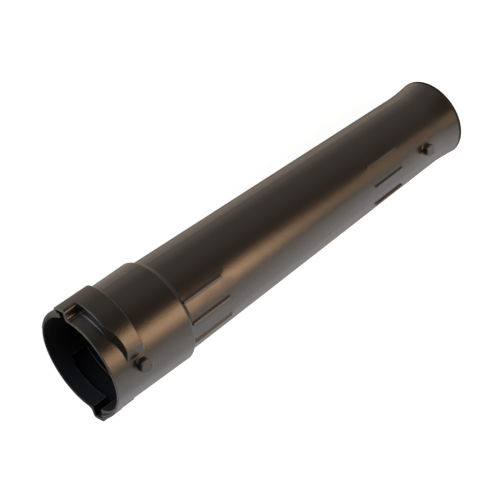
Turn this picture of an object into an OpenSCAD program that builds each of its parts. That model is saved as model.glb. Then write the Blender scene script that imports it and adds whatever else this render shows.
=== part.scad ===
// Blower pipe: one moulded plastic tube that carries the air of a hand-held garden blower.
// The wide collar takes the blower's outlet with two turn-to-lock housings, the narrow end takes a nozzle.
// The pipe lies on its side as it comes to rest. Z is up, and X runs from the collar to the outlet.

/* [Collar] */
// Outer radius of the collar at its mouth
collar_r = 42.5; // [38:0.5:47]
// Wall thickness of the whole moulding
wall = 2; // [1.6:0.1:2.6]
// Distance from the mouth to the shoulder
collar_len = 74.5; // [66:0.5:95]
// Growth of the collar's outer radius from the mouth to the shoulder
collar_draft = 0.7; // [0.2:0.1:1.2]
// Length of the rounded shoulder between collar and tube
shoulder_len = 5; // [4:0.5:9]
// Size of the small bevel along the mouth's edges
rim_ease = 0.4; // [0.2:0.05:0.6]

/* [Tube] */
// Length of the whole pipe
pipe_len = 400; // [360:1:460]
// Outer radius of the tube at the shoulder
tube_near_r = 39.8; // [37.5:0.1:41]
// Outer radius of the tube where its outlet starts to flare
tube_far_r = 33.3; // [31:0.1:36]
// Length of the flared outlet
flare_len = 26; // [16:1:34]
// Growth of the outer radius along the flare
flare_rise = 1.7; // [0.8:0.1:3]

/* [Turn-to-lock housings] */
// Width of the slot that lets a lug in
slot_w = 9; // [6:0.5:12]
// Height of a housing above the collar at its slot
housing_rise = 8.2; // [7:0.1:10]
// Distance from the mouth to the front of the channel's band
band_front = 12; // [9:0.5:14]
// Length of the channel's band along the pipe
band_len = 20; // [17:0.5:24]
// Angle from the slot to the high end of the band's ramp
band_turn = 72; // [60:1:78]
// Angle from the slot to the foot of the band's ramp
ramp_turn = 82; // [80:1:84]
// How far the band's own centre lies off the pipe's axis, towards the slot
band_offset = 7.5; // [6:0.1:9]
// Angle from the slot to the middle of the locking bevel
bevel_turn = 76; // [70:1:84]
// How far the bevel's foot stands back from the band's front
bevel_back = 3.2; // [2:0.1:4.5]
// Rounding of the band's long edges
band_round = 1; // [0.4:0.1:1.5]
// Rounding of the slot housing's long edges
slot_round = 2.5; // [1:0.1:3]
// Hollow fillet at the foot of the slot's walls
slot_fillet = 3; // [1:0.1:4]
// Hollow fillet at the foot of the band's front
band_fillet = 1.4; // [0.6:0.1:2]
// Rounding of the housing's rear corner beside the slot
corner_round = 6; // [3:0.5:8]

/* [Lead-in webs] */
// Angle from the slot back to where a web starts
web_turn = 59; // [45:1:70]
// Radius of a web's outer edge
web_r = 61; // [55:0.5:66]
// Radius of the lead-in recess inside a web
lead_r = 55; // [50:0.5:58]
// Thickness of a web at its outer edge
web_t = 3.2; // [2.5:0.1:4]
// Depth of the lead-in recess
lead_depth = 1.2; // [0.6:0.1:1.6]
// Length over which the back of a web slopes down to the collar
web_slope = 5; // [3:0.5:8]

/* [Studs] */
// Angle from the slot to the studs and to the middle rib of each group
stud_turn = 91.5; // [88:0.5:94]
// Distance from the mouth to the collar's studs
near_stud_z = 26; // [20:0.1:30]
// Radius of the collar's studs
near_stud_r = 5.5; // [4.5:0.1:6]
// Height of the collar's studs
near_stud_h = 6.2; // [4.5:0.1:7]
// Distance from the mouth to the outlet's studs
far_stud_z = 354.5; // [335:0.5:358]
// Radius of the outlet's studs
far_stud_r = 5; // [4.5:0.1:6]
// Height of the outlet's studs
far_stud_h = 6; // [4.5:0.1:7]
// Rounding of a stud's top edge
stud_round = 0.8; // [0.4:0.1:1.2]
// Hollow fillet at a stud's foot
stud_fillet = 0.8; // [0.4:0.1:1.2]

/* [Ribs] */
// Width of a rib
rib_w = 1.8; // [1.2:0.1:2.5]
// Height of a rib
rib_h = 0.9; // [0.6:0.1:1.4]
// Distance from the shoulder's foot to the near ribs
near_rib_gap = 2.5; // [1:0.5:6]
// Length of the near ribs
near_rib_len = 37; // [20:1:60]
// Angle between neighbouring near ribs
near_rib_turn = 26.5; // [18:0.5:36]
// Distance from the mouth to the far ribs
far_rib_z = 288.5; // [260:0.5:295]
// Length of the far ribs
far_rib_len = 34; // [20:1:40]
// Angle between neighbouring far ribs
far_rib_turn = 30.5; // [18:0.5:40]

/* [Hidden] */
$fn = 128;

// How far a cut runs past the solid that it opens
past = 1;

// A length that reaches past every housing, for the flat sides of cuts
far_out = 2 * collar_r;

socket_r = collar_r - wall;
shoulder_end = collar_len + shoulder_len;
flare_start = pipe_len - flare_len;
outlet_r = tube_far_r + flare_rise;
lip_r = wall / 2;

// A housing: its outer face is a cylinder about its own centre line, which lies off the pipe's axis
band_r = collar_r + housing_rise - band_offset;
channel_r = band_r - wall;
band_rear = band_front + band_len;
slot_half = slot_w / 2;
housing_half = slot_half + wall;
channel_front = band_front + wall;
channel_rear = band_rear - wall;
channel_turn = band_turn - asin(wall / collar_r);
bevel_tilt = 45;
bevel_wall = wall / cos(bevel_tilt);
// Distance from the pipe's axis at which the bevel meets the band's front
bevel_r = collar_r - bevel_back;

// Outer radius of the collar and of the tube at a distance z from the mouth
function collar_at(z) = collar_r + collar_draft * z / collar_len;
function tube_at(z) = tube_near_r + (tube_far_r - tube_near_r) * (z - shoulder_end) / (flare_start - shoulder_end);

// Part of a step that is done at the share t of its length, smooth at both ends
function ease(t) = (1 - cos(180 * t)) / 2;

shoulder_steps = 10;
flare_steps = 8;
lip_steps = 6;

// Points [radius, z] down the shoulder, from the radius of the collar to that of the tube
function shoulder(from_r, to_r) = [
    for (i = [0:shoulder_steps])
        let (t = i / shoulder_steps)
        [from_r + (to_r - from_r) * ease(t), collar_len + shoulder_len * t]
];

// Points [radius, z] along the flare up to the rounded lip
function flare(thickness) = [
    for (i = [1:flare_steps])
        let (t = i / flare_steps)
        [tube_far_r + flare_rise * (1 - cos(90 * t)) - thickness, flare_start + (flare_len - lip_r) * t]
];

// Points [radius, z] over the rounded lip, from its outer side to the middle of the wall, or from its inner side
function lip(side) = [
    for (i = [1:lip_steps])
        let (a = 90 * i / lip_steps)
        [outlet_r - lip_r + side * lip_r * cos(a), pipe_len - lip_r + lip_r * sin(a)]
];

// Section of the pipe's outer form, filled to the axis
module outer_section() {
    polygon(concat(
        [[0, 0], [collar_r - rim_ease, 0], [collar_at(rim_ease), rim_ease]],
        shoulder(collar_at(collar_len), tube_near_r),
        [[tube_far_r, flare_start]],
        flare(0),
        lip(1),
        [[0, pipe_len]]
    ));
}

// Section of the air way, which runs past both ends
module bore_section() {
    polygon(concat(
        [[0, -past], [socket_r + rim_ease, -past], [socket_r + rim_ease, 0], [socket_r, rim_ease]],
        shoulder(socket_r, tube_near_r - wall),
        [[tube_far_r - wall, flare_start]],
        flare(wall),
        lip(-1),
        [[outlet_r - lip_r, pipe_len + past], [0, pipe_len + past]]
    ));
}

// Everything that stands proud of the plain pipe is there twice, on opposite sides
module both_sides() {
    for (turn = [0, 180]) rotate([0, 0, turn]) children();
}

// Section of the band about its own centre line, from z_front, with round long edges
module band_section(z_front) {
    difference() {
        translate([0, z_front]) square([band_r, band_rear - z_front]);
        for (end = [0, 1]) {
            edge_z = end == 0 ? z_front + band_round : band_rear - band_round;
            corner_z = end == 0 ? z_front - past : edge_z;
            difference() {
                translate([band_r - band_round, corner_z]) square([band_round + past, band_round + past]);
                translate([band_r - band_round, edge_z]) circle(r = band_round);
            }
        }
    }
}

// The band's cylinder about its own centre line
module band_body(z_front) {
    translate([band_offset, 0, 0]) rotate_extrude() band_section(z_front);
}

// Plan of the slot's housing across the pipe: a straight bar with round outer edges
module slot_plan() {
    bar_r = collar_r + housing_rise;
    difference() {
        intersection() {
            translate([0, -housing_half]) square([bar_r, 2 * housing_half]);
            translate([band_offset, 0]) circle(r = band_r);
        }
        for (side = [-1, 1]) {
            edge_y = side * (housing_half - slot_round);
            edge_x = sqrt(pow(band_r - slot_round, 2) - pow(edge_y, 2));
            edge = [band_offset + edge_x, edge_y];
            outward = [edge_x, edge_y] / (band_r - slot_round);
            difference() {
                polygon([edge, edge + far_out * outward, edge + [0, side * far_out]]);
                translate(edge) circle(r = slot_round);
            }
        }
    }
}

// Hollow fillet between a side of the slot's housing and the collar
module slot_foot() {
    foot_y = housing_half + slot_fillet;
    foot_x = sqrt(pow(collar_r + slot_fillet, 2) - pow(foot_y, 2));
    difference() {
        polygon([[0, 0], [foot_x, 0], [foot_x, foot_y]]);
        translate([foot_x, foot_y]) circle(r = slot_fillet);
    }
}

// Point across the pipe at a radius and an angle
function at(r, turn) = [r * cos(turn), r * sin(turn)];

// Outer radius of the band, from the pipe's axis, at an angle from the slot
function band_at(turn) = band_offset * cos(turn) + sqrt(pow(band_r, 2) - pow(band_offset * sin(turn), 2));

// Plan of the band across the pipe, from the middle of the slot to the foot of its ramp
module band_plan() {
    top = at(band_at(band_turn), band_turn);
    foot = at(collar_r, ramp_turn);
    polygon([
        [0, 0],
        [far_out, 0],
        at(far_out, band_turn / 2),
        top + (top - foot),
        foot - (top - foot) / 4
    ]);
}

// All that lies in front of the locking bevel, which is shifted back by a given distance
module before_bevel(back) {
    rotate([0, 0, bevel_turn])
        translate([bevel_r, 0, band_front + back])
            rotate([0, 90 - bevel_tilt, 0])
                translate([0, -far_out, -far_out])
                    cube([far_out, 2 * far_out, 2 * far_out]);
}

// Hollow fillet at the foot of the band's front
module band_foot() {
    intersection() {
        rotate_extrude() difference() {
            translate([collar_r - past, band_front - band_fillet]) square([band_fillet + past, band_fillet + past]);
            translate([collar_at(band_front) + band_fillet, band_front - band_fillet]) circle(r = band_fillet);
        }
        linear_extrude(height = band_rear) band_plan();
    }
}

// What is cut off to round the housing's rear corner beside the slot
module rear_corner() {
    rotate([0, 90, 0]) linear_extrude(height = far_out) difference() {
        translate([-band_rear - past, -housing_half - past]) square([corner_round + past, corner_round + past]);
        translate([corner_round - band_rear, corner_round - housing_half]) circle(r = corner_round);
    }
}

// Outer form of one housing: the slot's bar and the band that holds the channel
module housing() {
    difference() {
        union() {
            intersection() {
                band_body(-past);
                linear_extrude(height = band_rear) slot_plan();
            }
            linear_extrude(height = band_front + past) slot_foot();
            linear_extrude(height = band_rear - corner_round) mirror([0, 1]) slot_foot();
            difference() {
                union() {
                    intersection() {
                        band_body(band_front);
                        linear_extrude(height = band_rear) band_plan();
                    }
                    band_foot();
                }
                before_bevel(0);
            }
        }
        rear_corner();
    }
}

// The slot and the channel behind it, open to the inside of the collar
module channel() {
    intersection() {
        translate([band_offset, 0, -past]) cylinder(r = channel_r, h = channel_rear + past);
        union() {
            translate([0, -slot_half, -past]) cube([far_out, slot_w, channel_rear + past]);
            difference() {
                translate([0, 0, channel_front]) linear_extrude(height = channel_rear - channel_front) polygon([
                    [0, -slot_half],
                    [far_out, -slot_half],
                    at(far_out, band_turn / 2),
                    at(far_out, channel_turn),
                    [0, 0]
                ]);
                before_bevel(bevel_wall);
            }
        }
    }
}

// Plan of a web's outer edge or of its recess: an arc that leaves the circle of radius start_r at web_turn
module web_plan(edge_r, start_r) {
    intersection() {
        translate(at(start_r - edge_r, -web_turn)) circle(r = edge_r);
        polygon([[0, 0], at(far_out, -web_turn), at(far_out, -web_turn / 2), [far_out, 0]]);
    }
}

// The web beside the slot, whose back slopes down to the collar
module web() {
    intersection() {
        linear_extrude(height = web_t + web_slope) web_plan(web_r, collar_r);
        union() {
            cylinder(r = collar_r + housing_rise, h = web_t);
            translate([0, 0, web_t]) cylinder(r1 = collar_r + housing_rise, r2 = collar_r, h = web_slope);
        }
        translate([0, -far_out, 0]) cube([far_out, far_out, web_t + web_slope]);
    }
}

// The shallow recess that leads a lug towards the slot
module lead_in() {
    translate([0, 0, -past]) linear_extrude(height = lead_depth + past) intersection() {
        web_plan(lead_r, socket_r);
        translate([0, -far_out - slot_half]) square([far_out, far_out]);
    }
}

// A stud that stands on the surface at radius base_r, z from the mouth
module stud(z, base_r, r, h) {
    rotate([0, 0, stud_turn]) translate([base_r, 0, z]) rotate([0, 90, 0]) rotate_extrude() {
        translate([0, -wall]) square([r, wall + h - stud_round]);
        translate([0, -wall]) square([r - stud_round, wall + h]);
        translate([r - stud_round, h - stud_round]) circle(r = stud_round);
        difference() {
            translate([0, -wall / 2]) square([r + stud_fillet, stud_fillet + wall / 2]);
            translate([r + stud_fillet, stud_fillet]) circle(r = stud_fillet);
        }
    }
}

// The blind hole inside a stud, which leaves the same wall all round
module stud_hollow(z, base_r, r, h) {
    rotate([0, 0, stud_turn])
        translate([base_r - 2 * wall, 0, z])
            rotate([0, 90, 0])
                cylinder(r = r - wall, h = h + wall);
}

// Three ribs side by side, which follow the taper of the tube
module ribs(z, len, turn) {
    intersection() {
        rotate_extrude() polygon([
            [tube_at(z) - wall / 2, z],
            [tube_at(z) + rib_h, z],
            [tube_at(z + len) + rib_h, z + len],
            [tube_at(z + len) - wall / 2, z + len]
        ]);
        for (side = [-1:1]) rotate([0, 0, stud_turn + side * turn]) rotate([90, 0, 90]) linear_extrude(height = far_out) {
            translate([-rib_w / 2, z + rib_w / 2]) square([rib_w, len - rib_w]);
            for (end_z = [z + rib_w / 2, z + len - rib_w / 2]) translate([0, end_z]) circle(r = rib_w / 2);
        }
    }
}

// The whole moulding along Z, mouth at the origin, one slot towards X
module upright_pipe() {
    near_rib_z = shoulder_end + near_rib_gap;
    near_base = collar_at(near_stud_z);
    far_base = tube_at(far_stud_z);
    difference() {
        union() {
            rotate_extrude() outer_section();
            both_sides() {
                housing();
                web();
                stud(near_stud_z, near_base, near_stud_r, near_stud_h);
                stud(far_stud_z, far_base, far_stud_r, far_stud_h);
                ribs(near_rib_z, near_rib_len, near_rib_turn);
                ribs(far_rib_z, far_rib_len, far_rib_turn);
            }
        }
        rotate_extrude() bore_section();
        both_sides() {
            channel();
            lead_in();
            stud_hollow(near_stud_z, near_base, near_stud_r, near_stud_h);
            stud_hollow(far_stud_z, far_base, far_stud_r, far_stud_h);
        }
    }
}

// How the pipe rests: on one housing's band, on the outlet's lip and on one of the outlet's studs.
// Each function gives how far that support reaches from the axis towards the angle that points down.
rest_band_z = band_rear - band_round;
rest_lip_z = pipe_len - lip_r;
function band_reach(down) = band_r + band_offset * cos(down - 180);
function stud_reach(down) =
    let (lean = stud_turn + 180 - down, top = tube_at(far_stud_z) + far_stud_h)
    (top - stud_round) * cos(lean) + (far_stud_r - stud_round) * sin(lean) + stud_round;
function rest_slope(down) = (band_reach(down) - outlet_r) / (rest_lip_z - rest_band_z);

// How far the stud reaches below the surface that band and lip touch, if the pipe is turned this way down
function stud_excess(down) = stud_reach(down) - outlet_r - rest_slope(down) * (rest_lip_z - far_stud_z);

// The pipe rolls until the stud just touches: halve the range of angles until it is found
function settled(low, high, rounds) =
    let (middle = (low + high) / 2)
    rounds <= 0 ? middle :
    stud_excess(middle) > 0 ? settled(low, middle, rounds - 1) : settled(middle, high, rounds - 1);

rest_rounds = 30;
rest_down = settled(180, 180 + stud_turn, rest_rounds);
rest_tilt = atan(rest_slope(rest_down));
rest_height = band_reach(rest_down) * cos(rest_tilt) + rest_band_z * sin(rest_tilt);

// Lowest and highest X of the tilted pipe before it is centred
rest_x_low = -(collar_r - rim_ease) * sin(rest_tilt);
rest_x_high = rest_lip_z * cos(rest_tilt) + (outlet_r - lip_r) * sin(rest_tilt) + lip_r;

module pipe() {
    color([0.13, 0.125, 0.12])
        translate([-(rest_x_low + rest_x_high) / 2, 0, rest_height])
            rotate([0, 90 + rest_tilt, 0])
                rotate([0, 0, -rest_down])
                    upright_pipe();
}

pipe();
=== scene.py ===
"""Looks of the moulded blower pipe, in metres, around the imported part."""
import bpy
import math
from mathutils import Matrix, Vector


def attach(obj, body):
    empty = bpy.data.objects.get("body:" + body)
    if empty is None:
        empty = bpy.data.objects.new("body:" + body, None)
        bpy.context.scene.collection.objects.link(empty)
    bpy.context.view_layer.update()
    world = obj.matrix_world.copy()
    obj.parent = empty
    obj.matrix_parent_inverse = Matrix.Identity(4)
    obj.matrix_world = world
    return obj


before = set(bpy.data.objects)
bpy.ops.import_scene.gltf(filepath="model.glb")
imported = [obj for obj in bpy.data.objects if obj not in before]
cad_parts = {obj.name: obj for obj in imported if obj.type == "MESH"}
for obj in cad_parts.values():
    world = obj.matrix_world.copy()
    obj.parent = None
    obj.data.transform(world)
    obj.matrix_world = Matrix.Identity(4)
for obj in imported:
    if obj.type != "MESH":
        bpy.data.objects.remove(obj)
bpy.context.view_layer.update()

for item in bpy.context.selected_objects:
    item.select_set(False)

# camera: the point it looks at, how far off it is, and how it is turned
CAMERA_TARGET = Vector((-0.02045, 0.00117, 0.03004))
CAMERA_DISTANCE = 1.12023
CAMERA_HEADING = math.radians(-9.049)
CAMERA_DIP = math.radians(61.032)
CAMERA_ROLL = math.radians(-65.277)
LENS = 102.857
SENSOR = 36.0

# how the pipe lies, as in the part's source: its mouth's centre, the dip of its axis and its turn about it
AXIS_START = Vector((-0.199766, 0.0, 0.047827))
AXIS_DIP = math.radians(1.8448)
PIPE_TURN = math.radians(-240.8517)
UPRIGHT_TO_LEVEL = math.radians(90)
PIPE_PLACE = (Matrix.Translation(AXIS_START) @ Matrix.Rotation(UPRIGHT_TO_LEVEL + AXIS_DIP, 4, "Y")
              @ Matrix.Rotation(PIPE_TURN, 4, "Z"))
AXIS_WAY = Vector((math.cos(AXIS_DIP), 0.0, -math.sin(AXIS_DIP)))

# tube: where its taper starts and ends, measured along the pipe from the mouth, and its outer radii there
TUBE_START = 0.0795
TUBE_END = 0.374
TUBE_START_RADIUS = 0.0398
TUBE_END_RADIUS = 0.0333

# ribs on the tube, three near the collar and three far from it on each side
# start and end are along the pipe, apart is in degrees round it, foot and crest are half widths
RIBS = {
    "near": {"start": 0.0772, "end": 0.1185, "apart": 26.5,
             "foot": 0.00198, "crest": 0.0003, "height": 0.00146},
    "far": {"start": 0.2885, "end": 0.3225, "apart": 30.5,
            "foot": 0.0013, "crest": 0.0006, "height": 0.0016},
}
# degrees round the pipe: the two slots, and from a slot on to the middle rib of its side
SLOTS = (0, 180)
RIB_MIDDLE = 91.5
RIB_PLACES = (-1, 0, 1)
RIB_SUNK = 0.0009
RIB_ROUNDING = 0.00025
ROUNDING_STEPS = 4
SMOOTH_ANGLE = math.radians(30)

# colours of the plastic as linear red, green and blue, and its sheen
PLASTIC = (0.0088, 0.0078, 0.0070)
PLASTIC_FLOWED = (0.0115, 0.0102, 0.0092)
# edges: paler from patchy wear, and paler still as a painted highlight
PLASTIC_RUB_AND_HIGHLIGHT = (0.098, 0.094, 0.091)
# inside the bore and on the outlet's lip: darker and bluer, as painted shade
PLASTIC_BORE_SHADE = (0.005, 0.0055, 0.0095)
SHEEN = 0.5
BORE_SHEEN = 0.28

# roughness of the plastic
SATIN = 0.25
SATIN_SPREAD = 0.03
RUBBED_ROUGHNESS = 0.36
BORE_ROUGHNESS = 0.85

# grain and ripple from the mould's face
GRAIN_SIZE = 0.0012
GRAIN_DEPTH = 0.00012
RIPPLE_SIZE = 0.045
RIPPLE_DEPTH = 0.00002
FULL_BUMP = 1.0
# a noise's number of finer layers, and the strength of each against the one before
GRAIN_NOISE = (2.0, 0.6)
RIPPLE_NOISE = (2.0, 0.4)
RUB_NOISE = (4.0, 0.65)

# rubbed edges, made paler also as a painted highlight along them
EDGE_WIDTH = 0.0011
RIB_EDGE_WIDTH = 0.0004
EDGE_SAMPLES = 8
# how open the plastic is within an edge where rubbing and its painted highlight start, and where they are
# full
EDGE_OPEN = (0.92, 0.55)
RUB_SIZE = 0.006
# noise at which a rubbed, highlighted patch starts, and at which it is full
RUB_PATCH = (0.25, 0.6)

# corners are shaded as if rounded by this much
CORNER_SOFTNESS = 0.0008
RIB_SOFTNESS = 0.0003
CORNER_SAMPLES = 6

# duller finish, with painted shade in the colour: how far a face looks away from the axis where the bore's
# starts, and where it is full
BORE_FACING = (-0.1, -0.4)
# distance along the pipe where the outlet lip's duller finish and painted dark shadow line start, and where
# they are full
LIP_SHADOW_PLACE = (0.3964, 0.3974)

# sky that lights the pipe: its strength low down and high up, and the heights between which it fades
SKY_LOW = 0.56
SKY_HIGH = 0.1
SKY_FADE = (0.5, 0.9)
SKY_TINT = (1.0, 0.9, 0.78)
# beyond the mouth the sky is dimmed to this share; the fade says how near that way it starts and is full
SKY_SHARE_MOUTH = 0.15
MOUTH_WAY = (-0.93, -0.08, 0.30)
MOUTH_FADE = (0.4, 0.85)

# floor
FLOOR_SIZE = 8.0
FLOOR_GREY = (0.27, 0.27, 0.27)
FLOOR_ROUGHNESS = 0.9
FLOOR_SHEEN = 0.0
FLOOR_GLOW_VIEW = 0.91
# floor as the plastic reflects it, a painted reflection that glows, with a painted shadow near the pipe: Y
# behind and before it, or X off its mouth, where the shine starts and where it is full, and how strong it is
# there
CONTACT_BEHIND = (0.044, 0.070)
CONTACT_BEFORE = (-0.03, -0.135)
CONTACT_MOUTH = (-0.20, -0.25)
SHINE_BEHIND = 0.7
SHINE_BEFORE = 1.24
SHINE_MOUTH = 1.0
TINT_BEHIND = (1.0, 0.85, 0.72)
TINT_BEFORE = (0.95, 0.97, 1.05)

# colours of light
WHITE = (1.0, 1.0, 1.0)
WARM_WHITE = (1.0, 0.62, 0.36)
DAY_WHITE = (0.86, 0.93, 1.0)
SOFT_WHITE = (1.0, 0.95, 0.90)

# lamps: name, centre, point it faces, length, width, colour, brightness, and the way its length lies
PIPE_WAY = (1.0, 0.0, 0.0)
WINDOW_WAY = (0.8, 0.6, 0.0)
LAMPS = (
    ("warm_core", (0.115, -0.195, 0.52), (-0.07, 0.0, 0.08), 0.30, 0.19, WARM_WHITE, 5.9, PIPE_WAY),
    ("warm_edge", (0.125, -0.215, 0.51), (-0.07, 0.0, 0.08), 0.31, 0.40, WARM_WHITE, 3.3, PIPE_WAY),
    ("warm_tail", (0.39, -0.23, 0.46), (0.10, 0.0, 0.07), 0.34, 0.22, WARM_WHITE, 1.95, PIPE_WAY),
    ("side_box", (0.30, -0.95, 0.31), (0.0, 0.0, 0.05), 1.8, 0.7, SOFT_WHITE, 1.35, PIPE_WAY),
    ("window", (-0.67, 0.67, 0.43), (-0.20, 0.0, 0.06), 0.8, 0.5, DAY_WHITE, 4.0, WINDOW_WAY),
)


def make_camera():
    """The camera looks down on the pipe from beyond the collar, rolled as the photo shows it."""
    ahead = Vector((math.cos(CAMERA_DIP) * math.cos(CAMERA_HEADING),
                    math.cos(CAMERA_DIP) * math.sin(CAMERA_HEADING),
                    -math.sin(CAMERA_DIP)))
    level = ahead.cross(Vector((0, 0, 1))).normalized()
    above = level.cross(ahead)
    up = above * math.cos(CAMERA_ROLL) + level * math.sin(CAMERA_ROLL)
    right = ahead.cross(up)
    data = bpy.data.cameras.new("camera")
    data.lens = LENS
    data.sensor_width = SENSOR
    camera = bpy.data.objects.new("camera", data)
    bpy.context.scene.collection.objects.link(camera)
    turn = Matrix((right, up, -ahead)).transposed()
    camera.matrix_world = Matrix.Translation(CAMERA_TARGET - ahead * CAMERA_DISTANCE) @ turn.to_4x4()
    bpy.context.scene.camera = camera


def feed(tree, socket, value):
    """Links another node's output to an input, or sets a plain number, place or colour there."""
    if isinstance(value, bpy.types.NodeSocket):
        tree.links.new(value, socket)
    elif socket.type == "RGBA":
        socket.default_value = (*value, 1)
    else:
        socket.default_value = value


def add(tree, kind, **values):
    """Adds a shader node; each value sets a property of the node, or else feeds the input of that name."""
    made = tree.nodes.new(kind)
    for name, value in values.items():
        if hasattr(made, name):
            setattr(made, name, value)
        else:
            feed(tree, made.inputs[name.replace("_", " ")], value)
    return made


def reckon(tree, operation, *values):
    """Reckons with numbers and other nodes' numbers, as a Math node does."""
    made = add(tree, "ShaderNodeMath", operation=operation)
    for socket, value in zip(made.inputs, values):
        feed(tree, socket, value)
    return made.outputs["Value"]


def reckon_ways(tree, operation, *values):
    """Reckons with places and directions, as a Vector Math node does; a dot product gives a number."""
    made = add(tree, "ShaderNodeVectorMath", operation=operation)
    for socket, value in zip(made.inputs, values):
        feed(tree, socket, value)
    return made.outputs["Value" if operation == "DOT_PRODUCT" else "Vector"]


def ramp(tree, value, low, high, start=0.0, end=1.0, curve="LINEAR"):
    """Turns a value between low and high into one between start and end, and holds it there beyond them."""
    made = add(tree, "ShaderNodeMapRange", clamp=True, interpolation_type=curve, Value=value,
               From_Min=low, From_Max=high, To_Min=start, To_Max=end)
    return made.outputs["Result"]


def mix(tree, kind, share, first, second):
    """Mixes two colours with kind RGBA, or two numbers with kind FLOAT; a share of 1 gives the second."""
    made = add(tree, "ShaderNodeMix", data_type=kind, Factor=share, A=first, B=second)
    return made.outputs["Result"]


def new_group(name, inputs, outputs):
    """An empty shader group with number inputs at their usual values, and number outputs."""
    group = bpy.data.node_groups.new(name, "ShaderNodeTree")
    for label, usual in inputs.items():
        socket = group.interface.new_socket(name=label, in_out="INPUT", socket_type="NodeSocketFloat")
        socket.default_value = usual
    for label in outputs:
        group.interface.new_socket(name=label, in_out="OUTPUT", socket_type="NodeSocketFloat")
    return group, group.nodes.new("NodeGroupInput"), group.nodes.new("NodeGroupOutput")


def sized_noise(group, size, detail, roughness):
    """Noise on the object's own coordinates, with spots of about the given size."""
    place = add(group, "ShaderNodeTexCoord")
    scale = reckon(group, "DIVIDE", 1.0, size)
    noise = add(group, "ShaderNodeTexNoise", Detail=detail, Roughness=roughness,
                Vector=place.outputs["Object"], Scale=scale)
    return noise.outputs["Fac"]


def mould_grain():
    """Fine grain and slow ripple that the mould's face leaves on the plastic."""
    group, given, result = new_group(
        "mould_grain", {"Grain Size": GRAIN_SIZE, "Ripple Size": RIPPLE_SIZE}, ["Grain", "Ripple"])
    feed(group, result.inputs["Grain"], sized_noise(group, given.outputs["Grain Size"], *GRAIN_NOISE))
    feed(group, result.inputs["Ripple"], sized_noise(group, given.outputs["Ripple Size"], *RIPPLE_NOISE))
    return group


def edge_rub_and_highlight():
    """Patchy rubbing and painted highlight on outward edges, found by how near an edge's far side is from
    within.
    """
    group, given, result = new_group(
        "edge_rub_and_highlight", {"Edge Width": EDGE_WIDTH, "Rub Size": RUB_SIZE}, ["Rub"])
    near = add(group, "ShaderNodeAmbientOcclusion", inside=True, only_local=True, samples=EDGE_SAMPLES,
               Distance=given.outputs["Edge Width"])
    edge = ramp(group, near.outputs["AO"], *EDGE_OPEN)
    patch = ramp(group, sized_noise(group, given.outputs["Rub Size"], *RUB_NOISE), *RUB_PATCH)
    feed(group, result.inputs["Rub"], reckon(group, "MULTIPLY", edge, patch))
    return group


def duller_and_shaded_places(tree):
    """Marks the faces that look towards the axis, which the mould's core formed, and the outlet's lip; both
    get a duller finish and painted shade.
    """
    place = add(tree, "ShaderNodeTexCoord")
    off = reckon_ways(tree, "SUBTRACT", place.outputs["Object"], AXIS_START)
    along = reckon_ways(tree, "DOT_PRODUCT", off, AXIS_WAY)
    foot = add(tree, "ShaderNodeVectorMath", operation="SCALE", Vector=AXIS_WAY, Scale=along)
    outward = reckon_ways(tree, "SUBTRACT", off, foot.outputs["Vector"])
    outward = reckon_ways(tree, "NORMALIZE", outward)
    facing = reckon_ways(tree, "DOT_PRODUCT", outward, place.outputs["Normal"])
    bore = ramp(tree, facing, *BORE_FACING)
    lip = ramp(tree, along, *LIP_SHADOW_PLACE)
    return reckon(tree, "MAXIMUM", bore, lip)


def black_plastic(name, softness, edge_width, grain_group, rub_and_highlight_group, cored):
    """Satin black plastic: mould grain, slow ripple, paler edges from rubbing and a painted highlight, and
    if cored, duller places with painted shade.
    """
    material = bpy.data.materials.new(name)
    material.use_nodes = True
    tree = material.node_tree
    shader = tree.nodes["Principled BSDF"]
    grain = add(tree, "ShaderNodeGroup", node_tree=grain_group)
    ripple = grain.outputs["Ripple"]
    rub_and_highlight = add(tree, "ShaderNodeGroup", node_tree=rub_and_highlight_group, Edge_Width=edge_width).outputs["Rub"]

    colour = mix(tree, "RGBA", ripple, PLASTIC, PLASTIC_FLOWED)
    satin = ramp(tree, ripple, 0.0, 1.0, SATIN - SATIN_SPREAD, SATIN + SATIN_SPREAD)
    sheen = SHEEN
    if cored:
        # the bore and the outlet's lip: a duller finish, and a colour painted as their shade
        dull_and_shaded = duller_and_shaded_places(tree)
        colour = mix(tree, "RGBA", dull_and_shaded, colour, PLASTIC_BORE_SHADE)
        satin = mix(tree, "FLOAT", dull_and_shaded, satin, BORE_ROUGHNESS)
        sheen = mix(tree, "FLOAT", dull_and_shaded, SHEEN, BORE_SHEEN)
    # edges take the paler colour, as patchy wear and as a painted highlight
    feed(tree, shader.inputs["Base Color"], mix(tree, "RGBA", rub_and_highlight, colour, PLASTIC_RUB_AND_HIGHLIGHT))
    feed(tree, shader.inputs["Roughness"], mix(tree, "FLOAT", rub_and_highlight, satin, RUBBED_ROUGHNESS))
    feed(tree, shader.inputs["Specular IOR Level"], sheen)

    corners = add(tree, "ShaderNodeBevel", samples=CORNER_SAMPLES, Radius=softness)
    slow = add(tree, "ShaderNodeBump", Distance=RIPPLE_DEPTH, Strength=FULL_BUMP,
               Normal=corners.outputs["Normal"], Height=ripple)
    fine = add(tree, "ShaderNodeBump", Distance=GRAIN_DEPTH, Strength=FULL_BUMP,
               Normal=slow.outputs["Normal"], Height=grain.outputs["Grain"])
    feed(tree, shader.inputs["Normal"], fine.outputs["Normal"])
    return material


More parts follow.
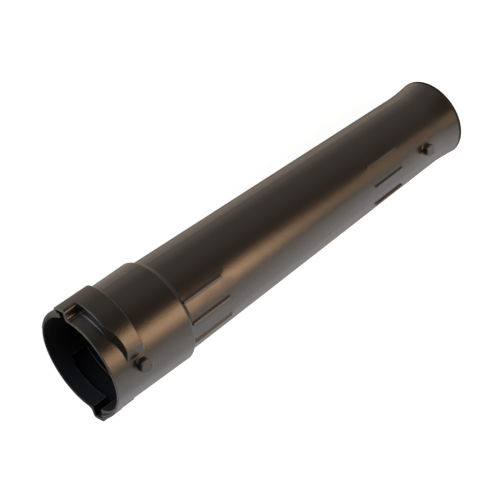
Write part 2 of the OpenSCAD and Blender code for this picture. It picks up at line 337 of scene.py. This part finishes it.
def make_floor():
    """A pale floor with the pipe's shadow: white to the camera; in the plastic's reflections a painted glow,
    with a painted shadow near the pipe.
    """
    bpy.ops.mesh.primitive_plane_add(size=FLOOR_SIZE, location=(0, 0, 0))
    floor = bpy.context.object
    floor.name = "floor"
    material = bpy.data.materials.new("floor_white")
    material.use_nodes = True
    tree = material.node_tree
    shader = tree.nodes["Principled BSDF"]
    feed(tree, shader.inputs["Base Color"], FLOOR_GREY)
    feed(tree, shader.inputs["Roughness"], FLOOR_ROUGHNESS)
    feed(tree, shader.inputs["Specular IOR Level"], FLOOR_SHEEN)

    path = add(tree, "ShaderNodeLightPath")
    in_view = path.outputs["Is Camera Ray"]
    in_shine = reckon(tree, "MAXIMUM", path.outputs["Is Glossy Ray"], path.outputs["Is Transmission Ray"])
    place = add(tree, "ShaderNodeTexCoord")
    spot = add(tree, "ShaderNodeSeparateXYZ", Vector=place.outputs["Object"])
    # glow seen only in reflections: painted light, fading to a painted shadow near the pipe
    behind = ramp(tree, spot.outputs["Y"], *CONTACT_BEHIND, end=SHINE_BEHIND)
    before = ramp(tree, spot.outputs["Y"], *CONTACT_BEFORE, end=SHINE_BEFORE)
    mouth = ramp(tree, spot.outputs["X"], *CONTACT_MOUTH, end=SHINE_MOUTH)
    lit = reckon(tree, "MAXIMUM", reckon(tree, "ADD", behind, before), mouth)
    shine = reckon(tree, "MULTIPLY", in_shine, lit)
    glow = reckon(tree, "MULTIPLY_ADD", in_view, FLOOR_GLOW_VIEW, shine)
    feed(tree, shader.inputs["Emission Strength"], glow)
    # the reflected glow is painted warm behind the pipe and cool before it
    is_before = reckon(tree, "LESS_THAN", spot.outputs["Y"], 0.0)
    tint = mix(tree, "RGBA", is_before, TINT_BEHIND, TINT_BEFORE)
    feed(tree, shader.inputs["Emission Color"], mix(tree, "RGBA", in_view, tint, WHITE))
    floor.data.materials.append(material)


def make_surroundings():
    """A pale room, darker overhead than at eye level; the camera itself sees it white."""
    world = bpy.data.worlds.new("studio")
    world.use_nodes = True
    tree = world.node_tree
    sky = tree.nodes["Background"]
    way = add(tree, "ShaderNodeTexCoord").outputs["Generated"]
    height = add(tree, "ShaderNodeSeparateXYZ", Vector=way).outputs["Z"]
    fade = ramp(tree, height, *SKY_FADE, start=SKY_LOW, end=SKY_HIGH, curve="SMOOTHSTEP")
    towards_mouth = reckon_ways(tree, "DOT_PRODUCT", way, MOUTH_WAY)
    dim = ramp(tree, towards_mouth, *MOUTH_FADE, start=1.0, end=SKY_SHARE_MOUTH, curve="SMOOTHSTEP")
    level = reckon(tree, "MULTIPLY", fade, dim)
    in_view = add(tree, "ShaderNodeLightPath").outputs["Is Camera Ray"]
    feed(tree, sky.inputs["Strength"], reckon(tree, "MAXIMUM", level, in_view))
    feed(tree, sky.inputs["Color"], mix(tree, "RGBA", in_view, SKY_TINT, WHITE))
    bpy.context.scene.world = world


def soft_box(name, centre, aim, length, width, colour, level, way):
    """A rectangular lamp, its length along way as far as its aim allows; level is its face's brightness."""
    data = bpy.data.lights.new(name, "AREA")
    data.shape = "RECTANGLE"
    data.size = length
    data.size_y = width
    data.color = colour
    data.energy = level * math.pi * length * width
    lamp = bpy.data.objects.new(name, data)
    bpy.context.scene.collection.objects.link(lamp)
    back = (Vector(centre) - Vector(aim)).normalized()
    across = back.cross(Vector(way)).normalized()
    along = across.cross(back)
    turn = Matrix((along, across, back)).transposed()
    lamp.matrix_world = Matrix.Translation(Vector(centre)) @ turn.to_4x4()


def make_lamps():
    """Two warm lamps over the collar and near half, a weaker one over the rest, one at a side, a window."""
    for lamp in LAMPS:
        soft_box(*lamp)


def rib_shape(name, length, foot, crest, height):
    """A long rib along Z with sloping sides and ends and a rounded crest, standing on X, its foot sunk."""
    bpy.ops.mesh.primitive_cube_add(size=2.0, location=(0, 0, 0), rotation=(0, 0, 0))
    made = bpy.context.object
    made.name = name
    lean = (foot - crest) / height
    base = foot + lean * RIB_SUNK
    base_length = length / 2 + lean * RIB_SUNK
    bpy.ops.object.mode_set(mode="EDIT")
    bpy.ops.transform.resize(value=((height + RIB_SUNK) / 2, base, base_length))
    bpy.ops.transform.translate(value=((height - RIB_SUNK) / 2, 0, 0))
    bpy.ops.mesh.select_mode(type="VERT")
    bpy.ops.mesh.select_all(action="DESELECT")
    bpy.ops.object.mode_set(mode="OBJECT")
    for point in made.data.vertices:
        point.select = point.co.x > 0
    bpy.ops.object.mode_set(mode="EDIT")
    bpy.ops.transform.resize(value=(1, crest / base, 1 - (base - crest) / base_length))
    bpy.ops.mesh.select_all(action="SELECT")
    bpy.ops.mesh.normals_make_consistent(inside=False)
    bpy.ops.mesh.select_mode(type="EDGE")
    bpy.ops.mesh.select_all(action="DESELECT")
    bpy.ops.object.mode_set(mode="OBJECT")
    for edge in made.data.edges:
        edge.select = max(made.data.vertices[corner].co.x for corner in edge.vertices) > 0
    bpy.ops.object.mode_set(mode="EDIT")
    bpy.ops.mesh.bevel(offset=RIB_ROUNDING, segments=ROUNDING_STEPS)
    bpy.ops.mesh.select_all(action="SELECT")
    bpy.ops.object.mode_set(mode="OBJECT")
    bpy.ops.object.shade_smooth_by_angle(angle=SMOOTH_ANGLE)
    made.select_set(False)
    return made


def make_ribs(finish):
    """The near and far ribs on both sides, over the solid's plainer ones; a group's first rib is copied."""
    slope = (TUBE_END_RADIUS - TUBE_START_RADIUS) / (TUBE_END - TUBE_START)
    for group, rib in RIBS.items():
        length = rib["end"] - rib["start"]
        first = rib_shape(f"{group}_rib", length, rib["foot"], rib["crest"], rib["height"])
        middle = (rib["start"] + rib["end"]) / 2
        radius = TUBE_START_RADIUS + slope * (middle - TUBE_START)
        seat = Matrix.Translation(Vector((radius, 0, middle))) @ Matrix.Rotation(math.atan(slope), 4, "Y")
        turns = [RIB_MIDDLE + slot + place * rib["apart"] for slot in SLOTS for place in RIB_PLACES]
        pieces = [first]
        for number in range(2, len(turns) + 1):
            piece = first.copy()
            piece.data = first.data.copy()
            piece.name = f"{group}_rib_{number}"
            bpy.context.scene.collection.objects.link(piece)
            pieces.append(piece)
        first.name = f"{group}_rib_1"
        for piece, turn in zip(pieces, turns):
            piece.matrix_world = PIPE_PLACE @ Matrix.Rotation(math.radians(turn), 4, "Z") @ seat
            bpy.context.view_layer.objects.active = piece
            piece.select_set(True)
            bpy.ops.object.transform_apply(location=True, rotation=True, scale=True)
            piece.select_set(False)
            piece.data.materials.append(finish)
            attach(piece, "root")


make_camera()
make_floor()
make_surroundings()
make_lamps()
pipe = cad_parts["pipe"]
pipe.data.materials.clear()
effects = (mould_grain(), edge_rub_and_highlight())
pipe.data.materials.append(black_plastic("black_plastic", CORNER_SOFTNESS, EDGE_WIDTH, *effects, cored=True))
make_ribs(black_plastic("black_plastic_ribs", RIB_SOFTNESS, RIB_EDGE_WIDTH, *effects, cored=False))
bpy.context.scene.view_settings.view_transform = "Standard"
